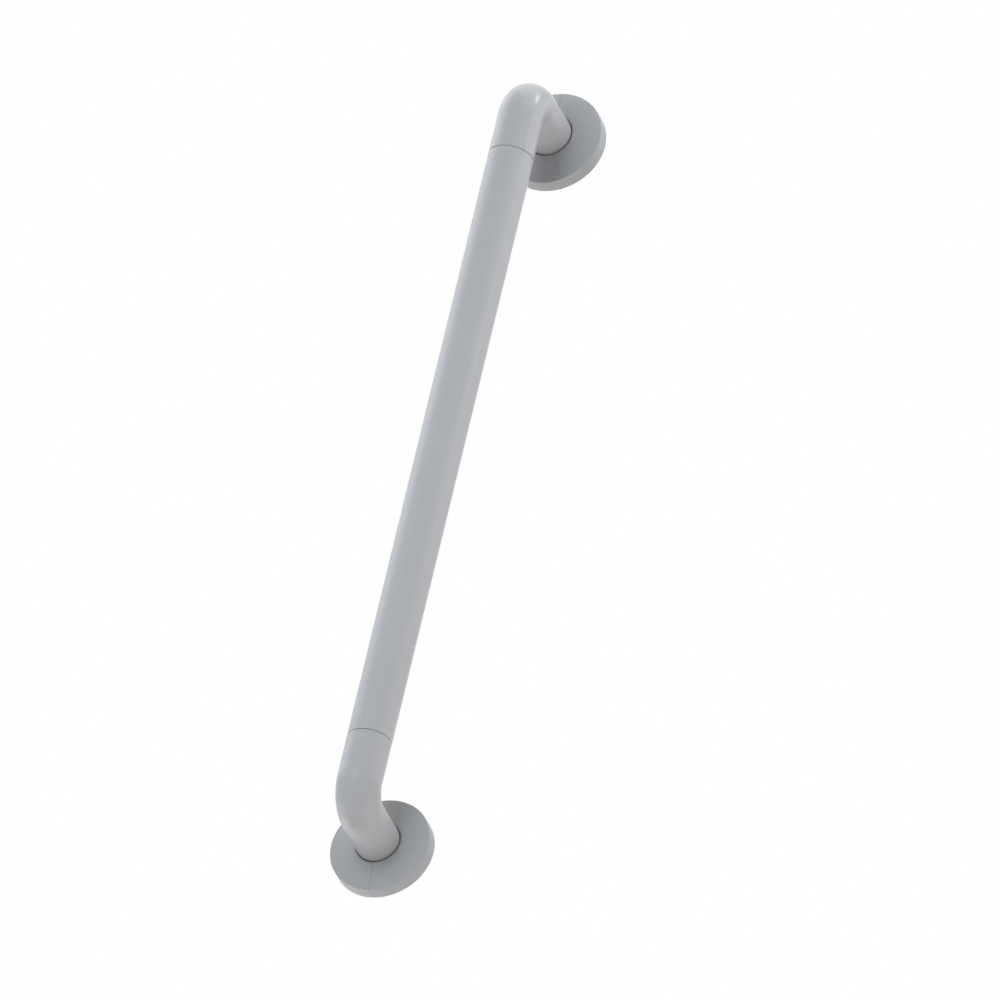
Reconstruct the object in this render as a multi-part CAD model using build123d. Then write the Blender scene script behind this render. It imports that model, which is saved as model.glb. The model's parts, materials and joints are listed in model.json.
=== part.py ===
from build123d import *
import math
import os

# Grab bar of nylon over a steel core, in millimetres
# The wall is the plane y = 0, and the bar stands in front of it, along z
# The lower flange is centred on the origin

# Layout
centre_distance = 600.0  # between the two flange centres
axis_height = 68.5  # from the wall to the bar's centre line
bend_inner_radius = 3.0  # throat of each elbow
elbow_straight = 33.0  # from the end of the bend to the joint with the grip tube

# Nylon tube and elbows
grip_diameter = 33.0
grip_wall = 4.0
joint_groove_width = 0.5  # shadow line at each joint, cut into the elbow's end
joint_groove_depth = 0.8
joint_chamfer = 0.2

# Steel core tube and cast corner cores
core_clearance = 0.1  # all round, between the core and what it slides into
core_wall = 2.0
core_overlap = 16.0  # how far the core tube passes the joint into the elbow
spigot_length = 45.0
spigot_chamfer = 1.5

# Two-piece clip-on covers
cover_diameter = 76.0
cover_edge_height = 11.2  # from the wall to the front of the rim
cover_collar_height = 16.2  # from the wall to the edge round the elbow
cover_gap = 0.3  # between the cover and the elbow
cover_wall = 2.0
cover_edge_round = 1.0
cover_collar_round = 1.6
cover_lip_wall = 1.8
cover_lip_depth = 6.0
rim_clearance = 0.2  # keeps the cover off the wall
slit_width = 0.12  # fine line between the halves, on the side away from the grip
rib_thickness = 1.6
rib_angles = (-55.0, 0.0, 55.0)
tongue_thickness = 1.2
tongue_reach = 3.0  # past the split, under the other half
tongue_root = 3.0
tongue_margin = 3.0
tongue_clearance = 0.1

# Hooks of the covers
hook_angles = (-28.0, 28.0)
hook_width = 7.0
hook_thickness = 1.5
hook_travel = 0.8  # how far a hook gives way, and how deep its nose grips
hook_clearance = 0.2
hook_nose = 0.6  # flat tip of the nose

# Wall flanges
flange_thickness = 4.0
flange_relief = 1.8  # step behind the rim that the hooks grip
flange_relief_width = 2.5
flange_chamfer = 0.5
hub_reach = 10.0  # how far the hub stands up inside the elbow
screw_hole_diameter = 6.6
screw_count = 3

# Flange bolts and lock washers
bolt_diameter = 8.0
bolt_length = 25.0
bolt_head_diameter = 13.0
bolt_head_height = 5.0
bolt_head_chamfer = 0.6
bolt_socket = 5.0  # across flats
bolt_socket_depth = 3.0
bolt_hole_clearance = 0.2
bolt_hole_spare = 3.0  # depth of the tapped hole past the bolt's end
thread_clearance = 0.05
washer_thickness = 2.0
washer_diameter = 12.7
washer_slit = 1.5
counterbore_clearance = 0.5
hub_web = 4.0  # metal left under the washer

# Locating pins
pin_diameter = 4.0
pin_length = 9.0
pin_floor = 1.0  # metal left under the pin in the hub's web
pin_clearance = 0.05
pin_end_space = 0.3
pin_chamfer = 0.4

# Grub screws
grub_diameter = 6.0
grub_length = 10.0
grub_recess = 1.0  # below the nylon's surface
grub_socket = 3.0  # across flats
grub_socket_depth = 3.0
grub_chamfer = 0.5
grub_hole_clearance = 0.3
grub_hole_spare = 1.5

# Radii and heights that follow from these
grip_radius = grip_diameter / 2
bore_radius = grip_radius - grip_wall
core_radius = bore_radius - core_clearance
core_bore_radius = core_radius - core_wall
spigot_radius = core_bore_radius - core_clearance
bend_radius = grip_radius + bend_inner_radius
bend_height = axis_height - bend_radius
elbow_reach = bend_radius + elbow_straight
groove_reach = elbow_reach - joint_groove_width
groove_radius = grip_radius - joint_groove_depth
shoulder_reach = elbow_reach - core_overlap
hub_height = flange_thickness + hub_reach
cover_radius = cover_diameter / 2
cover_hole_radius = grip_radius + cover_gap
cover_lip_radius = cover_hole_radius + cover_lip_wall
cover_rim_radius = cover_radius - cover_wall
cover_slope = (cover_collar_height - cover_edge_height) / (cover_radius - cover_hole_radius)
cover_drop = cover_wall * math.hypot(1, cover_slope)  # the sloping front's wall, measured along the leg
hook_outer_radius = cover_rim_radius - hook_travel
hook_inner_radius = hook_outer_radius - hook_thickness
flange_radius = hook_inner_radius - hook_clearance
screw_circle_radius = (grip_radius + flange_radius) / 2
bolt_radius = bolt_diameter / 2
counterbore_radius = bolt_head_diameter / 2 + counterbore_clearance
counterbore_depth = hub_height - hub_web
bolt_seat = counterbore_depth - washer_thickness
pin_radius = pin_diameter / 2
pin_offset = (bolt_radius + bolt_hole_clearance + core_radius) / 2
pin_start = counterbore_depth + pin_floor
grub_radius = grub_diameter / 2
grub_height = elbow_reach - core_overlap / 2
grub_face = axis_height - grip_radius + grub_recess
leg_axis = Axis((0, 0, 0), (0, -1, 0))
half_turn = Rot(0, 180, 0)
upper_end = Pos(0, 0, centre_distance) * half_turn


def across_leg(height):
    """Plane across an elbow's leg, at a height from the wall and facing away from it."""
    return Plane(origin=(0, -height, 0), x_dir=(1, 0, 0), z_dir=(0, -1, 0))


def across_bar(height):
    """Plane across the bar, at a height above the lower flange's centre and facing up."""
    return Plane(origin=(0, -axis_height, height), x_dir=(1, 0, 0), z_dir=(0, 0, 1))


def along_leg(angle):
    """Plane through the leg's centre line: x runs outwards at an angle, and y away from the wall."""
    turn = math.radians(angle)
    return Plane(
        origin=(0, 0, 0),
        x_dir=(math.cos(turn), 0, math.sin(turn)),
        z_dir=(math.sin(turn), 0, -math.cos(turn)),
    )


def ring_sector(points, start, sweep):
    """Solid swept round the leg's centre line by an outline of radius and height."""
    face = make_face(Polyline(*points, close=True))
    return revolve(along_leg(start) * face, leg_axis, sweep)


def arc_angle(length, radius):
    """Angle in degrees of an arc of some length."""
    return math.degrees(length / radius)


def face_height(radius):
    """Height of the cover's sloping front at some radius."""
    return cover_edge_height + cover_slope * (cover_radius - radius)


def ceiling_height(radius):
    """Height of the underside of the cover's sloping front."""
    return face_height(radius) - cover_drop


def inside_wall(radius):
    """Height halfway through the cover's sloping front, where its ribs and hooks are rooted."""
    return face_height(radius) - cover_drop / 2


def round_elbow(radius, leg_start, bar_end):
    """Round bar up the leg from one height, round the bend, and along the bar to another."""
    leg = extrude(across_leg(leg_start) * Circle(radius), bend_height - leg_start)
    bend_axis = Axis((0, -bend_height, bend_radius), (-1, 0, 0))
    bend = revolve(across_leg(bend_height) * Circle(radius), bend_axis, 90)
    bar = extrude(across_bar(bend_radius) * Circle(radius), bar_end - bend_radius)
    return leg + bend + bar


def grub_hole(clearance):
    """Hole for the grub screw, from outside the bar on the wall side to the bottom of its thread."""
    depth = grub_recess + grub_length + grub_hole_spare
    mouth = across_leg(axis_height - grip_radius) * Pos(0, grub_height)
    return extrude(mouth * Circle(grub_radius + clearance), depth)


def make_elbow():
    """Nylon elbow: a hollow moulding that stands on the flange and ends at the joint."""
    body = round_elbow(grip_radius, flange_thickness, groove_reach)
    body = chamfer(body.edges().group_by(Axis.Z)[-1], joint_chamfer)
    body += extrude(across_bar(groove_reach) * Circle(groove_radius), joint_groove_width)
    body -= round_elbow(bore_radius, flange_thickness, elbow_reach)
    return body - grub_hole(grub_hole_clearance)


def make_corner_core():
    """Cast core of an elbow: it seats on the flange's hub and plugs into the core tube."""
    body = round_elbow(core_radius, hub_height, shoulder_reach)
    spigot = extrude(across_bar(shoulder_reach) * Circle(spigot_radius), spigot_length)
    spigot = chamfer(spigot.edges().group_by(Axis.Z)[-1], spigot_chamfer)
    bolt_depth = bolt_seat + bolt_length + bolt_hole_spare - hub_height
    seat = across_leg(hub_height)
    bolt_hole = extrude(seat * Circle(bolt_radius + thread_clearance), bolt_depth)
    pin_depth = pin_start + pin_length + pin_end_space - hub_height
    pin_hole = extrude(seat * Pos(0, -pin_offset) * Circle(pin_radius + pin_clearance), pin_depth)
    return body + spigot - bolt_hole - pin_hole - grub_hole(thread_clearance)


def make_grub_screw():
    """Headless screw with a hex socket, sunk below the elbow's surface on the wall side."""
    face = across_leg(grub_face) * Pos(0, grub_height)
    body = extrude(face * Circle(grub_radius), grub_length)
    body = chamfer(body.edges().filter_by(GeomType.CIRCLE), grub_chamfer)
    socket = RegularPolygon(grub_socket / 2, 6, major_radius=False)
    return body - extrude(face * socket, grub_socket_depth)


def make_flange():
    """Wall flange: a plate with screw holes, a step behind its rim, and a hub for the elbow."""
    plate = extrude(across_leg(0) * Circle(flange_radius), flange_thickness)
    plate = chamfer(plate.edges().group_by(Axis.Y)[0], flange_chamfer)
    hub = extrude(across_leg(0) * Circle(core_radius), hub_height)
    hub = chamfer(hub.edges().group_by(Axis.Y)[0], flange_chamfer)
    step_radius = flange_radius - flange_relief_width
    step = Circle(flange_radius + flange_relief_width) - Circle(step_radius)
    relief = extrude(across_leg(0) * step, flange_relief)
    screws = PolarLocations(screw_circle_radius, screw_count, start_angle=90)
    screw_circles = Sketch() + screws * Circle(screw_hole_diameter / 2)
    screw_holes = extrude(across_leg(0) * screw_circles, flange_thickness)
    counterbore = extrude(across_leg(0) * Circle(counterbore_radius), counterbore_depth)
    bolt_hole = extrude(across_leg(0) * Circle(bolt_radius + bolt_hole_clearance), hub_height)
    pin_seat = across_leg(pin_start) * Pos(0, -pin_offset)
    pin_hole = extrude(pin_seat * Circle(pin_radius + pin_clearance), hub_height - pin_start)
    return plate + hub - relief - screw_holes - counterbore - bolt_hole - pin_hole


def make_bolt():
    """Low-headed socket bolt, driven from the wall side into the corner core."""
    head_face = across_leg(bolt_seat - bolt_head_height)
    head = extrude(head_face * Circle(bolt_head_diameter / 2), bolt_head_height)
    head = chamfer(head.edges().group_by(Axis.Y)[-1], bolt_head_chamfer)
    shank = extrude(across_leg(bolt_seat) * Circle(bolt_radius), bolt_length)
    shank = chamfer(shank.edges().group_by(Axis.Y)[0], bolt_head_chamfer)
    socket = RegularPolygon(bolt_socket / 2, 6, major_radius=False)
    return head + shank - extrude(head_face * socket, bolt_socket_depth)


def make_washer():
    """Split lock washer between the bolt's head and the hub's web."""
    ring = Circle(washer_diameter / 2) - Circle(bolt_radius + bolt_hole_clearance)
    slit = Pos(washer_diameter / 4, 0) * Rectangle(washer_diameter / 2, washer_slit)
    return extrude(across_leg(bolt_seat) * (ring - slit), washer_thickness)


def make_pin():
    """Plain pin between the hub's web and the corner core, off the leg's centre line."""
    seat = across_leg(pin_start) * Pos(0, -pin_offset)
    body = extrude(seat * Circle(pin_radius), pin_length)
    return chamfer(body.edges().filter_by(GeomType.CIRCLE), pin_chamfer)


def cover_blank():
    """Half of the cover's outside as a solid, with its edges rounded and its side of the slit cut off."""
    outline = Polyline(
        (cover_hole_radius, rim_clearance),
        (cover_radius, rim_clearance),
        (cover_radius, cover_edge_height),
        (cover_hole_radius, cover_collar_height),
        close=True,
    )
    face = make_face(outline)
    face = fillet(face.vertices().sort_by_distance((cover_radius, cover_edge_height))[0], cover_edge_round)
    collar = (cover_hole_radius, cover_collar_height)
    face = fillet(face.vertices().sort_by_distance(collar)[0], cover_collar_round)
    blank = revolve(along_leg(-90) * face, leg_axis, 180)
    slit = Pos(0, -cover_radius / 2) * Rectangle(slit_width, cover_radius)
    return blank - extrude(across_leg(0) * slit, cover_collar_height)


def make_cover_half():
    """One half of a cover, on the +x side: a hollow shell with ribs and hooks."""
    lip_height = cover_collar_height - cover_lip_depth
    hollow = [
        (grip_radius, 0),
        (cover_rim_radius, 0),
        (cover_rim_radius, ceiling_height(cover_rim_radius)),
        (cover_lip_radius, ceiling_height(cover_lip_radius)),
        (cover_lip_radius, lip_height),
        (grip_radius, lip_height),
    ]
    half = cover_blank() - ring_sector(hollow, -90, 180)
    for angle in rib_angles:
        half += make_rib(angle)
    for angle in hook_angles:
        half += make_hook(angle)
    return half


def make_rib(angle):
    """Rib that stiffens the cover and rests on the flange."""
    inner = cover_lip_radius - cover_lip_wall / 2
    outer = cover_rim_radius + cover_wall / 2
    outline = Polyline(
        (inner, flange_thickness),
        (outer, flange_thickness),
        (outer, inside_wall(outer)),
        (inner, inside_wall(inner)),
        close=True,
    )
    return extrude(along_leg(angle) * make_face(outline), rib_thickness / 2, both=True)


def make_hook(angle):
    """Springy hook that hangs inside the rim and grips behind the flange."""
    tip = hook_inner_radius - hook_clearance - hook_travel
    grip_height = flange_relief - hook_clearance
    points = [
        (hook_inner_radius, inside_wall(hook_inner_radius)),
        (hook_inner_radius, grip_height),
        (tip, grip_height),
        (tip, grip_height - hook_nose),
        (hook_inner_radius, rim_clearance),
        (hook_outer_radius, rim_clearance),
        (hook_outer_radius, inside_wall(hook_outer_radius)),
    ]
    width = arc_angle(hook_width, hook_inner_radius)
    return ring_sector(points, angle - width / 2, width)


def make_tongue():
    """Tongue at the inner end of a half, which laps under the front of the other half."""
    inner = cover_lip_radius + tongue_margin
    outer = cover_rim_radius - tongue_margin
    top = -tongue_clearance
    bottom = top - tongue_thickness
    tongue = [
        (inner, ceiling_height(inner) + bottom),
        (outer, ceiling_height(outer) + bottom),
        (outer, ceiling_height(outer) + top),
        (inner, ceiling_height(inner) + top),
    ]
    root = tongue[:2] + [(outer, inside_wall(outer)), (inner, inside_wall(inner))]
    root_angle = arc_angle(tongue_root, inner)
    lap = ring_sector(tongue, 90 - root_angle, root_angle + arc_angle(tongue_reach, inner))
    return lap + ring_sector(root, 90 - root_angle, root_angle - arc_angle(slit_width, inner))


def straight_bar(radius, start):
    """Round bar along the grip, as far from the upper flange's centre as from the lower one's."""
    return extrude(across_bar(start) * Circle(radius), centre_distance - 2 * start)


def make_grip_tube():
    """Nylon tube between the two joints."""
    body = straight_bar(grip_radius, elbow_reach)
    body = chamfer(body.edges().filter_by(GeomType.CIRCLE), joint_chamfer)
    return body - straight_bar(bore_radius, elbow_reach)


def make_core_tube():
    """Steel tube that fills the grip, with a cross hole at each end for the grub screw."""
    body = straight_bar(core_radius, shoulder_reach) - straight_bar(core_bore_radius, shoulder_reach)
    return body - grub_hole(grub_hole_clearance) - upper_end * grub_hole(grub_hole_clearance)


# One half of each cover has a tongue at both ends of its split, and the other half has none
cover_half = make_cover_half()
cover_tongue = make_tongue()
tongued_half = cover_half + cover_tongue + mirror(cover_tongue, Plane.XY)
plain_half = mirror(cover_half, Plane.YZ)

# Both ends have the same pieces: the upper end is the lower one turned half round
end_pieces = {
    "elbow": make_elbow(),
    "corner_core": make_corner_core(),
    "grub_screw": make_grub_screw(),
    "wall_flange": make_flange(),
    "flange_bolt": make_bolt(),
    "lock_washer": make_washer(),
    "locating_pin": make_pin(),
}
pieces = {
    "grip_tube": make_grip_tube(),
    "core_tube": make_core_tube(),
    "lower_right_cover": tongued_half,
    "lower_left_cover": plain_half,
    "upper_left_cover": upper_end * tongued_half,
    "upper_right_cover": upper_end * plain_half,
}
for name, piece in end_pieces.items():
    pieces["lower_" + name] = piece
    pieces["upper_" + name] = upper_end * piece

os.makedirs("parts", exist_ok=True)
for name, piece in pieces.items():
    export_step(piece, f"parts/{name}.step")
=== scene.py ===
import json
import math

import bpy
from mathutils import Matrix, Vector


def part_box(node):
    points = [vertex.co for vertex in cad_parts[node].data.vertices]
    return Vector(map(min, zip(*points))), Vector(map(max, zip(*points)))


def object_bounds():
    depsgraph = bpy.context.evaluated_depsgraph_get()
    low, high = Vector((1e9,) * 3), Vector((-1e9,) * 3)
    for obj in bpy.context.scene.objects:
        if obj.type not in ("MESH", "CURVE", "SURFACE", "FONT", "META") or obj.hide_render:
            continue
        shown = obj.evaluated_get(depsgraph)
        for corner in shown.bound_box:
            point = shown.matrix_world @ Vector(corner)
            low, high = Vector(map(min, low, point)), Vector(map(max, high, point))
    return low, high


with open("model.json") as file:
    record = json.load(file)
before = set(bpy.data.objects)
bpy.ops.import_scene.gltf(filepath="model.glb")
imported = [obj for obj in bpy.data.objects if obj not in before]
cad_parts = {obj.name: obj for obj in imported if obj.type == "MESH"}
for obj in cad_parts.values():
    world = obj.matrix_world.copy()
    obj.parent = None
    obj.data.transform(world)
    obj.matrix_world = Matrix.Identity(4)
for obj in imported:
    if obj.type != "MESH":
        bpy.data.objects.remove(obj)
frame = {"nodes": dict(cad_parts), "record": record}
cad_low, cad_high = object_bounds()
centre = (cad_low + cad_high) / 2
lower_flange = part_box("lower_wall_flange")
upper_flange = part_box("upper_wall_flange")
centre_distance = ((upper_flange[0] + upper_flange[1]) - (lower_flange[0] + lower_flange[1])).z / 2

# Colours, as linear values
white = (1.0, 1.0, 1.0)
grip_grey = (0.47, 0.461, 0.477)
cover_grey = (0.398, 0.397, 0.409)
zinc = (0.64, 0.65, 0.66)
drawn_steel = (0.47, 0.47, 0.48)
cast_grey = (0.62, 0.62, 0.63)
floor_white = (0.85, 0.85, 0.85)

# Shares of a colour by which noise makes it lighter or darker, or painted shade along the covers' slits
# makes it darker
nylon_tint_change = 0.012
metal_tint_change = 0.06
floor_tint_change = 0.01
slit_shade_share = 0.15

# Gloss, and how far noise varies the roughness to either side
elbow_roughness = 0.29
tube_roughness = 0.37
cover_roughness = 0.4
nylon_gloss_change = 0.012
nylon_refraction = 1.5
zinc_roughness = 0.34
drawn_roughness = 0.4
cast_roughness = 0.5
metal_gloss_change = 0.06
floor_roughness = 0.9

# Sizes of the surface detail, in metres
cloud_size = 0.04
gloss_patch_size = cloud_size / 3
speckle_size = 0.0006
grain_size = 0.0007
grain_depth = 0.000012
cover_grain_size = 0.0009
cover_grain_depth = 0.00002
# Reach of the painted shade to either side of a cover's slit
slit_shade_reach = 0.0005
streak_width = 0.0008
streak_length = 0.15
streak_depth = 0.000008
spangle_size = 0.004
turning_pitch = 0.0004
turning_depth = 0.000004
draw_line_width = 0.0005
draw_line_length = 0.05
draw_line_depth = 0.00001
casting_grain_size = 0.0012
casting_grain_depth = 0.00006
floor_patch_size = 0.3

# Noise: its levels of detail, and the part of its range that is used
noise_detail = 2.0
noise_low = 0.25
noise_high = 0.75

# Camera: a parallel view from below and to the right, with the picture's own tilt
picture_side = 1000
pixels_per_metre = 1392.1
wall_middle_pixel = (470.55, 499.75)
view_azimuth = 25.86
view_elevation = -29.50
view_roll = 13.65
camera_distance = 1.2

# Floor
floor_drop = 0.95
floor_radius = 6.0
floor_corners = 96
floor_glow = 0.6

# Tints of the lamps
plain = white
cool = (0.9, 1.03, 1.07)
warm = (1.15, 0.95, 0.9)

# Soft boxes: direction from the object's middle, radiance, tint, and what isn't usual in size or gloss
lamp_distance = 1.1
box_size = 0.8
soft_boxes = {
    "front": dict(azimuth=-5, elevation=-5, radiance=7.6, colour=cool, size=0.5, in_gloss=False),
    "top_right": dict(azimuth=60, elevation=68, radiance=1.0, colour=cool),
    "top_left": dict(azimuth=-120, elevation=68, radiance=4.5, colour=plain, in_gloss=False),
    "right_band": dict(azimuth=90, elevation=30, radiance=1.6, colour=plain, size=0.45),
    "right_high": dict(azimuth=120, elevation=35, radiance=0.95, colour=cool),
    "right_low": dict(azimuth=105, elevation=-38, radiance=1.0, colour=warm),
    "right_under": dict(azimuth=140, elevation=-38, radiance=1.15, colour=cool, in_gloss=False),
    "left_high": dict(azimuth=-85, elevation=35, radiance=1.0, colour=plain),
    "left_low": dict(azimuth=-105, elevation=-38, radiance=1.05, colour=plain),
    "left_under": dict(azimuth=-140, elevation=-38, radiance=0.55, colour=plain),
    "sparkle": dict(azimuth=95, elevation=62, radiance=14.0, colour=plain, size=0.16),
}
ambient_level = 0.29
backdrop_level = 1.0

scene = bpy.context.scene
scene.view_settings.view_transform = "Standard"


def new_material(name):
    """Material with a node tree, the tree, and its main shader."""
    material = bpy.data.materials.new(name)
    material.use_nodes = True
    tree = material.node_tree
    return material, tree, tree.nodes["Principled BSDF"]


def connect(tree, socket, value):
    """Link an input to another node's output, or set it to a plain value."""
    if isinstance(value, bpy.types.NodeSocket):
        tree.links.new(value, socket)
    else:
        socket.default_value = value


def feed(tree, node, **inputs):
    """Link or set some of a node's inputs by name."""
    for key, value in inputs.items():
        connect(tree, node.inputs[key.replace("_", " ")], value)


def add_node(tree, kind, **inputs):
    """Node of a kind, with some of its inputs linked or set by name."""
    node = tree.nodes.new("ShaderNode" + kind)
    feed(tree, node, **inputs)
    return node


def calculated(tree, operation, *values):
    """Result of a sum on values, each an output or a number."""
    node = add_node(tree, "Math")
    node.operation = operation
    for socket, value in zip(node.inputs, values):
        connect(tree, socket, value)
    return node.outputs[0]


def place(tree):
    """Position on the object, in metres."""
    return add_node(tree, "TexCoord").outputs["Object"]


def stretched(tree, size):
    """Position scaled so that a texture has a given size along each axis."""
    return add_node(tree, "Mapping", Vector=place(tree), Scale=[1 / length for length in size]).outputs[0]


def cloud(tree, size):
    """Noise of a given size, one for all axes or one each."""
    if isinstance(size, float):
        size = (size, size, size)
    noise = add_node(tree, "TexNoise", Vector=stretched(tree, size), Scale=1.0, Detail=noise_detail)
    return noise.outputs["Fac"]


def spread(tree, noise, low, high):
    """Noise brought to a range of values."""
    node = add_node(
        tree,
        "MapRange",
        Value=noise,
        From_Min=noise_low,
        From_Max=noise_high,
        To_Min=low,
        To_Max=high,
    )
    node.interpolation_type = "SMOOTHSTEP"
    return node.outputs[0]


def varied(tree, noise, value, change):
    """Number that noise varies to either side."""
    return spread(tree, noise, value - change, value + change)


def shade_of(colour, share=1.0):
    """Opaque colour, made lighter or darker by a share."""
    return [channel * share for channel in colour] + [1.0]


def tinted(tree, noise, colour, change):
    """Colour that noise varies by a share of itself."""
    ramp = add_node(tree, "ValToRGB", Fac=spread(tree, noise, 0.0, 1.0))
    ramp.color_ramp.elements[0].color = shade_of(colour, 1 - change)
    ramp.color_ramp.elements[1].color = shade_of(colour, 1 + change)
    return ramp.outputs["Color"]


def multiplied(tree, colour, factor):
    """Product of two colours."""
    mixed = add_node(tree, "Mix")
    mixed.data_type = "RGBA"
    mixed.blend_type = "MULTIPLY"
    feed(tree, mixed, Factor=1.0, A=colour, B=factor)
    return mixed.outputs["Result"]


def bumped(tree, height, depth):
    """Normal that follows a height."""
    return add_node(tree, "Bump", Height=height, Strength=1.0, Distance=depth).outputs["Normal"]


def moulded(size):
    """Even grain of a mould."""
    return lambda tree: cloud(tree, size)


def drawn(width, length):
    """Lines along the bar, as an extruded or a drawn tube has."""
    return lambda tree: cloud(tree, (width, width, length))


def turned(tree):
    """Fine rings round the nearer flange's centre, as a lathe leaves them."""
    along = add_node(tree, "SeparateXYZ", Vector=place(tree))
    folded = calculated(tree, "PINGPONG", along.outputs["Z"], centre_distance / 2)
    across = add_node(tree, "CombineXYZ", X=along.outputs["X"], Z=folded)
    radius = add_node(tree, "VectorMath", Vector=across.outputs[0])
    radius.operation = "LENGTH"
    rings = add_node(tree, "TexNoise", Scale=1 / turning_pitch, Detail=noise_detail)
    rings.noise_dimensions = "1D"
    feed(tree, rings, W=radius.outputs["Value"])
    return rings.outputs["Fac"]


def painted_slit_shade(tree):
    """Painted shade: a darker line along the covers' slits, which lie past the flange centres in the plane
    of the bar.
    """
    along = add_node(tree, "SeparateXYZ", Vector=place(tree))
    off_plane = calculated(tree, "ABSOLUTE", along.outputs["X"])
    from_middle = calculated(tree, "ABSOLUTE", calculated(tree, "SUBTRACT", along.outputs["Z"], centre.z))
    past_centre = calculated(tree, "GREATER_THAN", from_middle, centre_distance / 2)
    shade = add_node(
        tree,
        "MapRange",
        Value=off_plane,
        From_Max=slit_shade_reach,
        To_Min=slit_shade_share,
        To_Max=0.0,
    )
    return calculated(tree, "SUBTRACT", 1.0, calculated(tree, "MULTIPLY", past_centre, shade.outputs[0]))


def nylon(name, colour, roughness, texture, depth, with_slit_shade=False):
    """Satin nylon: faint clouds in its colour, a pigment speckle, the texture left by its making and,
    where asked, painted shade along the covers' slits.
    """
    material, tree, shader = new_material(name)
    body = tinted(tree, cloud(tree, cloud_size), colour, nylon_tint_change)
    speckle = tinted(tree, cloud(tree, speckle_size), white, nylon_tint_change)
    base_colour = multiplied(tree, body, speckle)
    # Painted shade: a darker line along the covers' slits, multiplied into the colour
    if with_slit_shade:
        base_colour = multiplied(tree, base_colour, painted_slit_shade(tree))
    feed(
        tree,
        shader,
        Base_Color=base_colour,
        Roughness=varied(tree, cloud(tree, gloss_patch_size), roughness, nylon_gloss_change),
        IOR=nylon_refraction,
        Normal=bumped(tree, texture(tree), depth),
    )
    return material


def metal(name, colour, patch_size, roughness, texture, depth):
    """Bare or plated metal: patches in its colour and gloss, and the texture left by its making."""
    material, tree, shader = new_material(name)
    patches = cloud(tree, patch_size)
    feed(
        tree,
        shader,
        Base_Color=tinted(tree, patches, colour, metal_tint_change),
        Metallic=1.0,
        Roughness=varied(tree, patches, roughness, metal_gloss_change),
        Normal=bumped(tree, texture(tree), depth),
    )
    return material


def dress_nodes():
    """Give each node the finish of its slot, and the grip tube the lines of an extruded one."""
    grain = moulded(grain_size)
    cover_grain = moulded(cover_grain_size)
    casting_grain = moulded(casting_grain_size)
    streaks = drawn(streak_width, streak_length)
    draw_lines = drawn(draw_line_width, draw_line_length)
    finishes = {
        "nylon": nylon("nylon", grip_grey, elbow_roughness, grain, grain_depth),
        # The covers' nylon carries painted shade along its slits
        "cover_nylon": nylon(
            "cover_nylon", cover_grey, cover_roughness, cover_grain, cover_grain_depth, with_slit_shade=True
        ),
        "plated_steel": metal("plated_steel", zinc, spangle_size, zinc_roughness, turned, turning_depth),
        "core_steel": metal(
            "core_steel", drawn_steel, cloud_size, drawn_roughness, draw_lines, draw_line_depth
        ),
        "cast_aluminium": metal(
            "cast_aluminium", cast_grey, cloud_size, cast_roughness, casting_grain, casting_grain_depth
        ),
    }
    extruded_nylon = nylon("extruded_nylon", grip_grey, tube_roughness, streaks, streak_depth)
    for part in frame["record"]["subparts"]:
        skin = frame["nodes"][part["node"]].data.materials
        skin.clear()
        skin.append(extruded_nylon if part["node"] == "grip_tube" else finishes[part["material_slot"]])


def seen_itself(tree):
    """1 for what the camera, gloss or glass shows, and 0 for the light that falls on other things."""
    path = add_node(tree, "LightPath")
    seen = path.outputs["Is Camera Ray"]
    for ray in ("Is Glossy Ray", "Is Transmission Ray"):
        seen = calculated(tree, "MAXIMUM", seen, path.outputs[ray])
    return seen


def make_floor():
    """Pale floor, far below the bar, nearly as light as the backdrop where it is seen."""
    bpy.ops.mesh.primitive_circle_add(vertices=floor_corners, radius=floor_radius, fill_type="NGON")
    floor = bpy.context.object
    floor.name = "floor"
    floor.location = (centre.x, centre.y, cad_low.z - floor_drop)
    material, tree, shader = new_material("floor")
    feed(
        tree,
        shader,
        Base_Color=tinted(tree, cloud(tree, floor_patch_size), floor_white, floor_tint_change),
        Roughness=floor_roughness,
        Emission_Color=shade_of(white),
        Emission_Strength=calculated(tree, "MULTIPLY", seen_itself(tree), floor_glow),
    )
    floor.data.materials.append(material)


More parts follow.
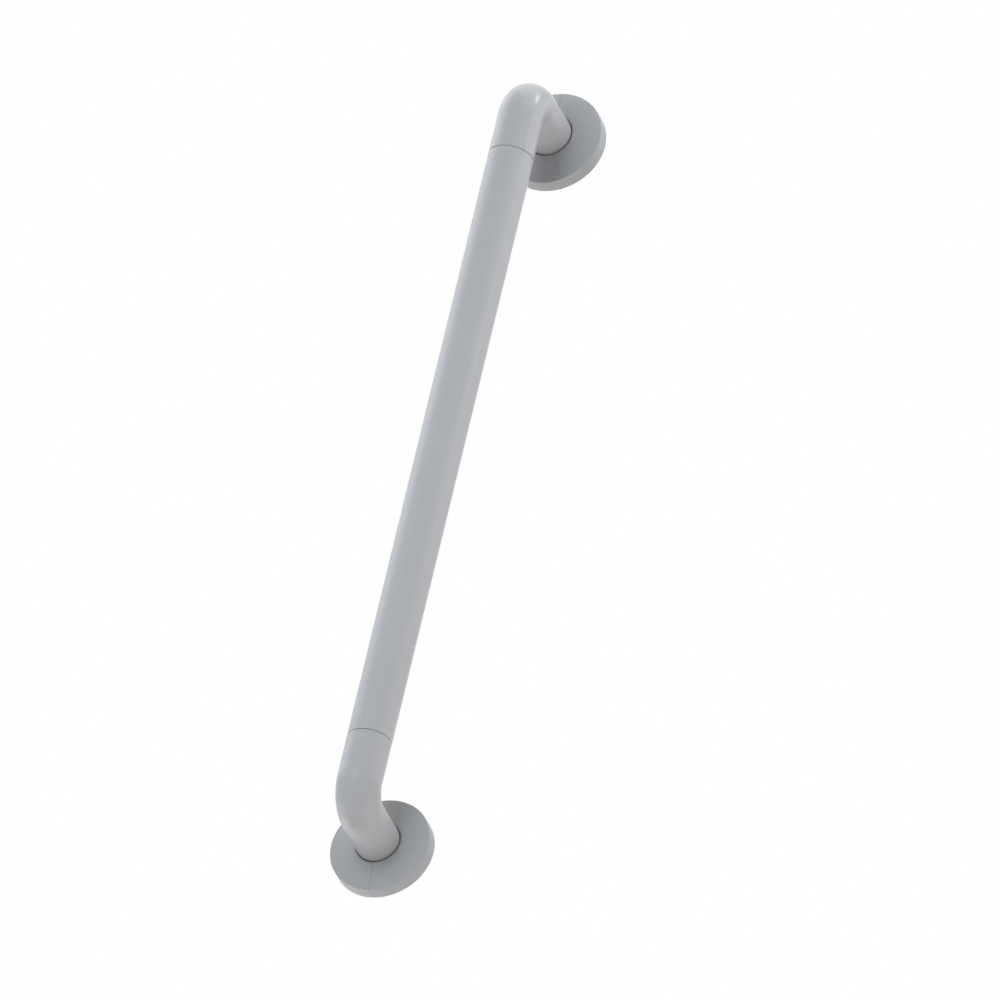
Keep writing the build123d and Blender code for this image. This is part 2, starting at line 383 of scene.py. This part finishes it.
def make_world():
    """White backdrop for what sees it directly or in gloss, and a soft even light for the rest."""
    world = bpy.data.worlds.new("studio")
    world.use_nodes = True
    scene.world = world
    tree = world.node_tree
    tree.nodes.clear()
    light = add_node(tree, "Background", Color=shade_of(white), Strength=ambient_level)
    backdrop = add_node(tree, "Background", Color=shade_of(white), Strength=backdrop_level)
    mix = add_node(tree, "MixShader", Fac=seen_itself(tree))
    tree.links.new(light.outputs[0], mix.inputs[1])
    tree.links.new(backdrop.outputs[0], mix.inputs[2])
    add_node(tree, "OutputWorld", Surface=mix.outputs[0])


def direction(azimuth, elevation):
    """Unit vector away from the object: azimuth 0 is in front of the wall and 90 to the right."""
    turn = math.radians(azimuth)
    rise = math.radians(elevation)
    return Vector((math.sin(turn) * math.cos(rise), -math.cos(turn) * math.cos(rise), math.sin(rise)))


def make_soft_box(name, azimuth, elevation, radiance, colour, size=box_size, in_gloss=True):
    """Square lamp that faces the object's middle, and may be left out of what gloss shows."""
    lamp = bpy.data.lights.new(name, "AREA")
    lamp.shape = "SQUARE"
    lamp.size = size
    lamp.energy = math.pi * size**2 * radiance
    lamp.color = colour
    body = bpy.data.objects.new(name, lamp)
    toward = direction(azimuth, elevation)
    body.location = centre + toward * lamp_distance
    body.rotation_mode = "QUATERNION"
    body.rotation_quaternion = (-toward).to_track_quat("-Z", "Y")
    body.visible_camera = False
    body.visible_glossy = in_gloss
    scene.collection.objects.link(body)


def make_camera():
    """Camera in the photograph's direction, with the wall's point behind the bar's middle at its pixel."""
    data = bpy.data.cameras.new("camera")
    data.type = "ORTHO"
    data.ortho_scale = picture_side / pixels_per_metre
    camera = bpy.data.objects.new("camera", data)
    back = direction(view_azimuth, view_elevation)
    level = Vector((0, 0, 1)).cross(back).normalized()
    upright = back.cross(level)
    roll = math.radians(view_roll)
    right = level * math.cos(roll) + upright * math.sin(roll)
    up = back.cross(right)
    wall_middle = Vector((0, 0, centre.z))
    side_step = (picture_side / 2 - wall_middle_pixel[0]) / pixels_per_metre
    drop = (picture_side / 2 - wall_middle_pixel[1]) / pixels_per_metre
    target = wall_middle + right * side_step - up * drop
    turn = Matrix((right, up, back)).transposed().to_4x4()
    camera.matrix_world = Matrix.Translation(target + back * camera_distance) @ turn
    scene.collection.objects.link(camera)
    scene.camera = camera


dress_nodes()
make_floor()
make_world()
for name, settings in soft_boxes.items():
    make_soft_box(name, **settings)
make_camera()
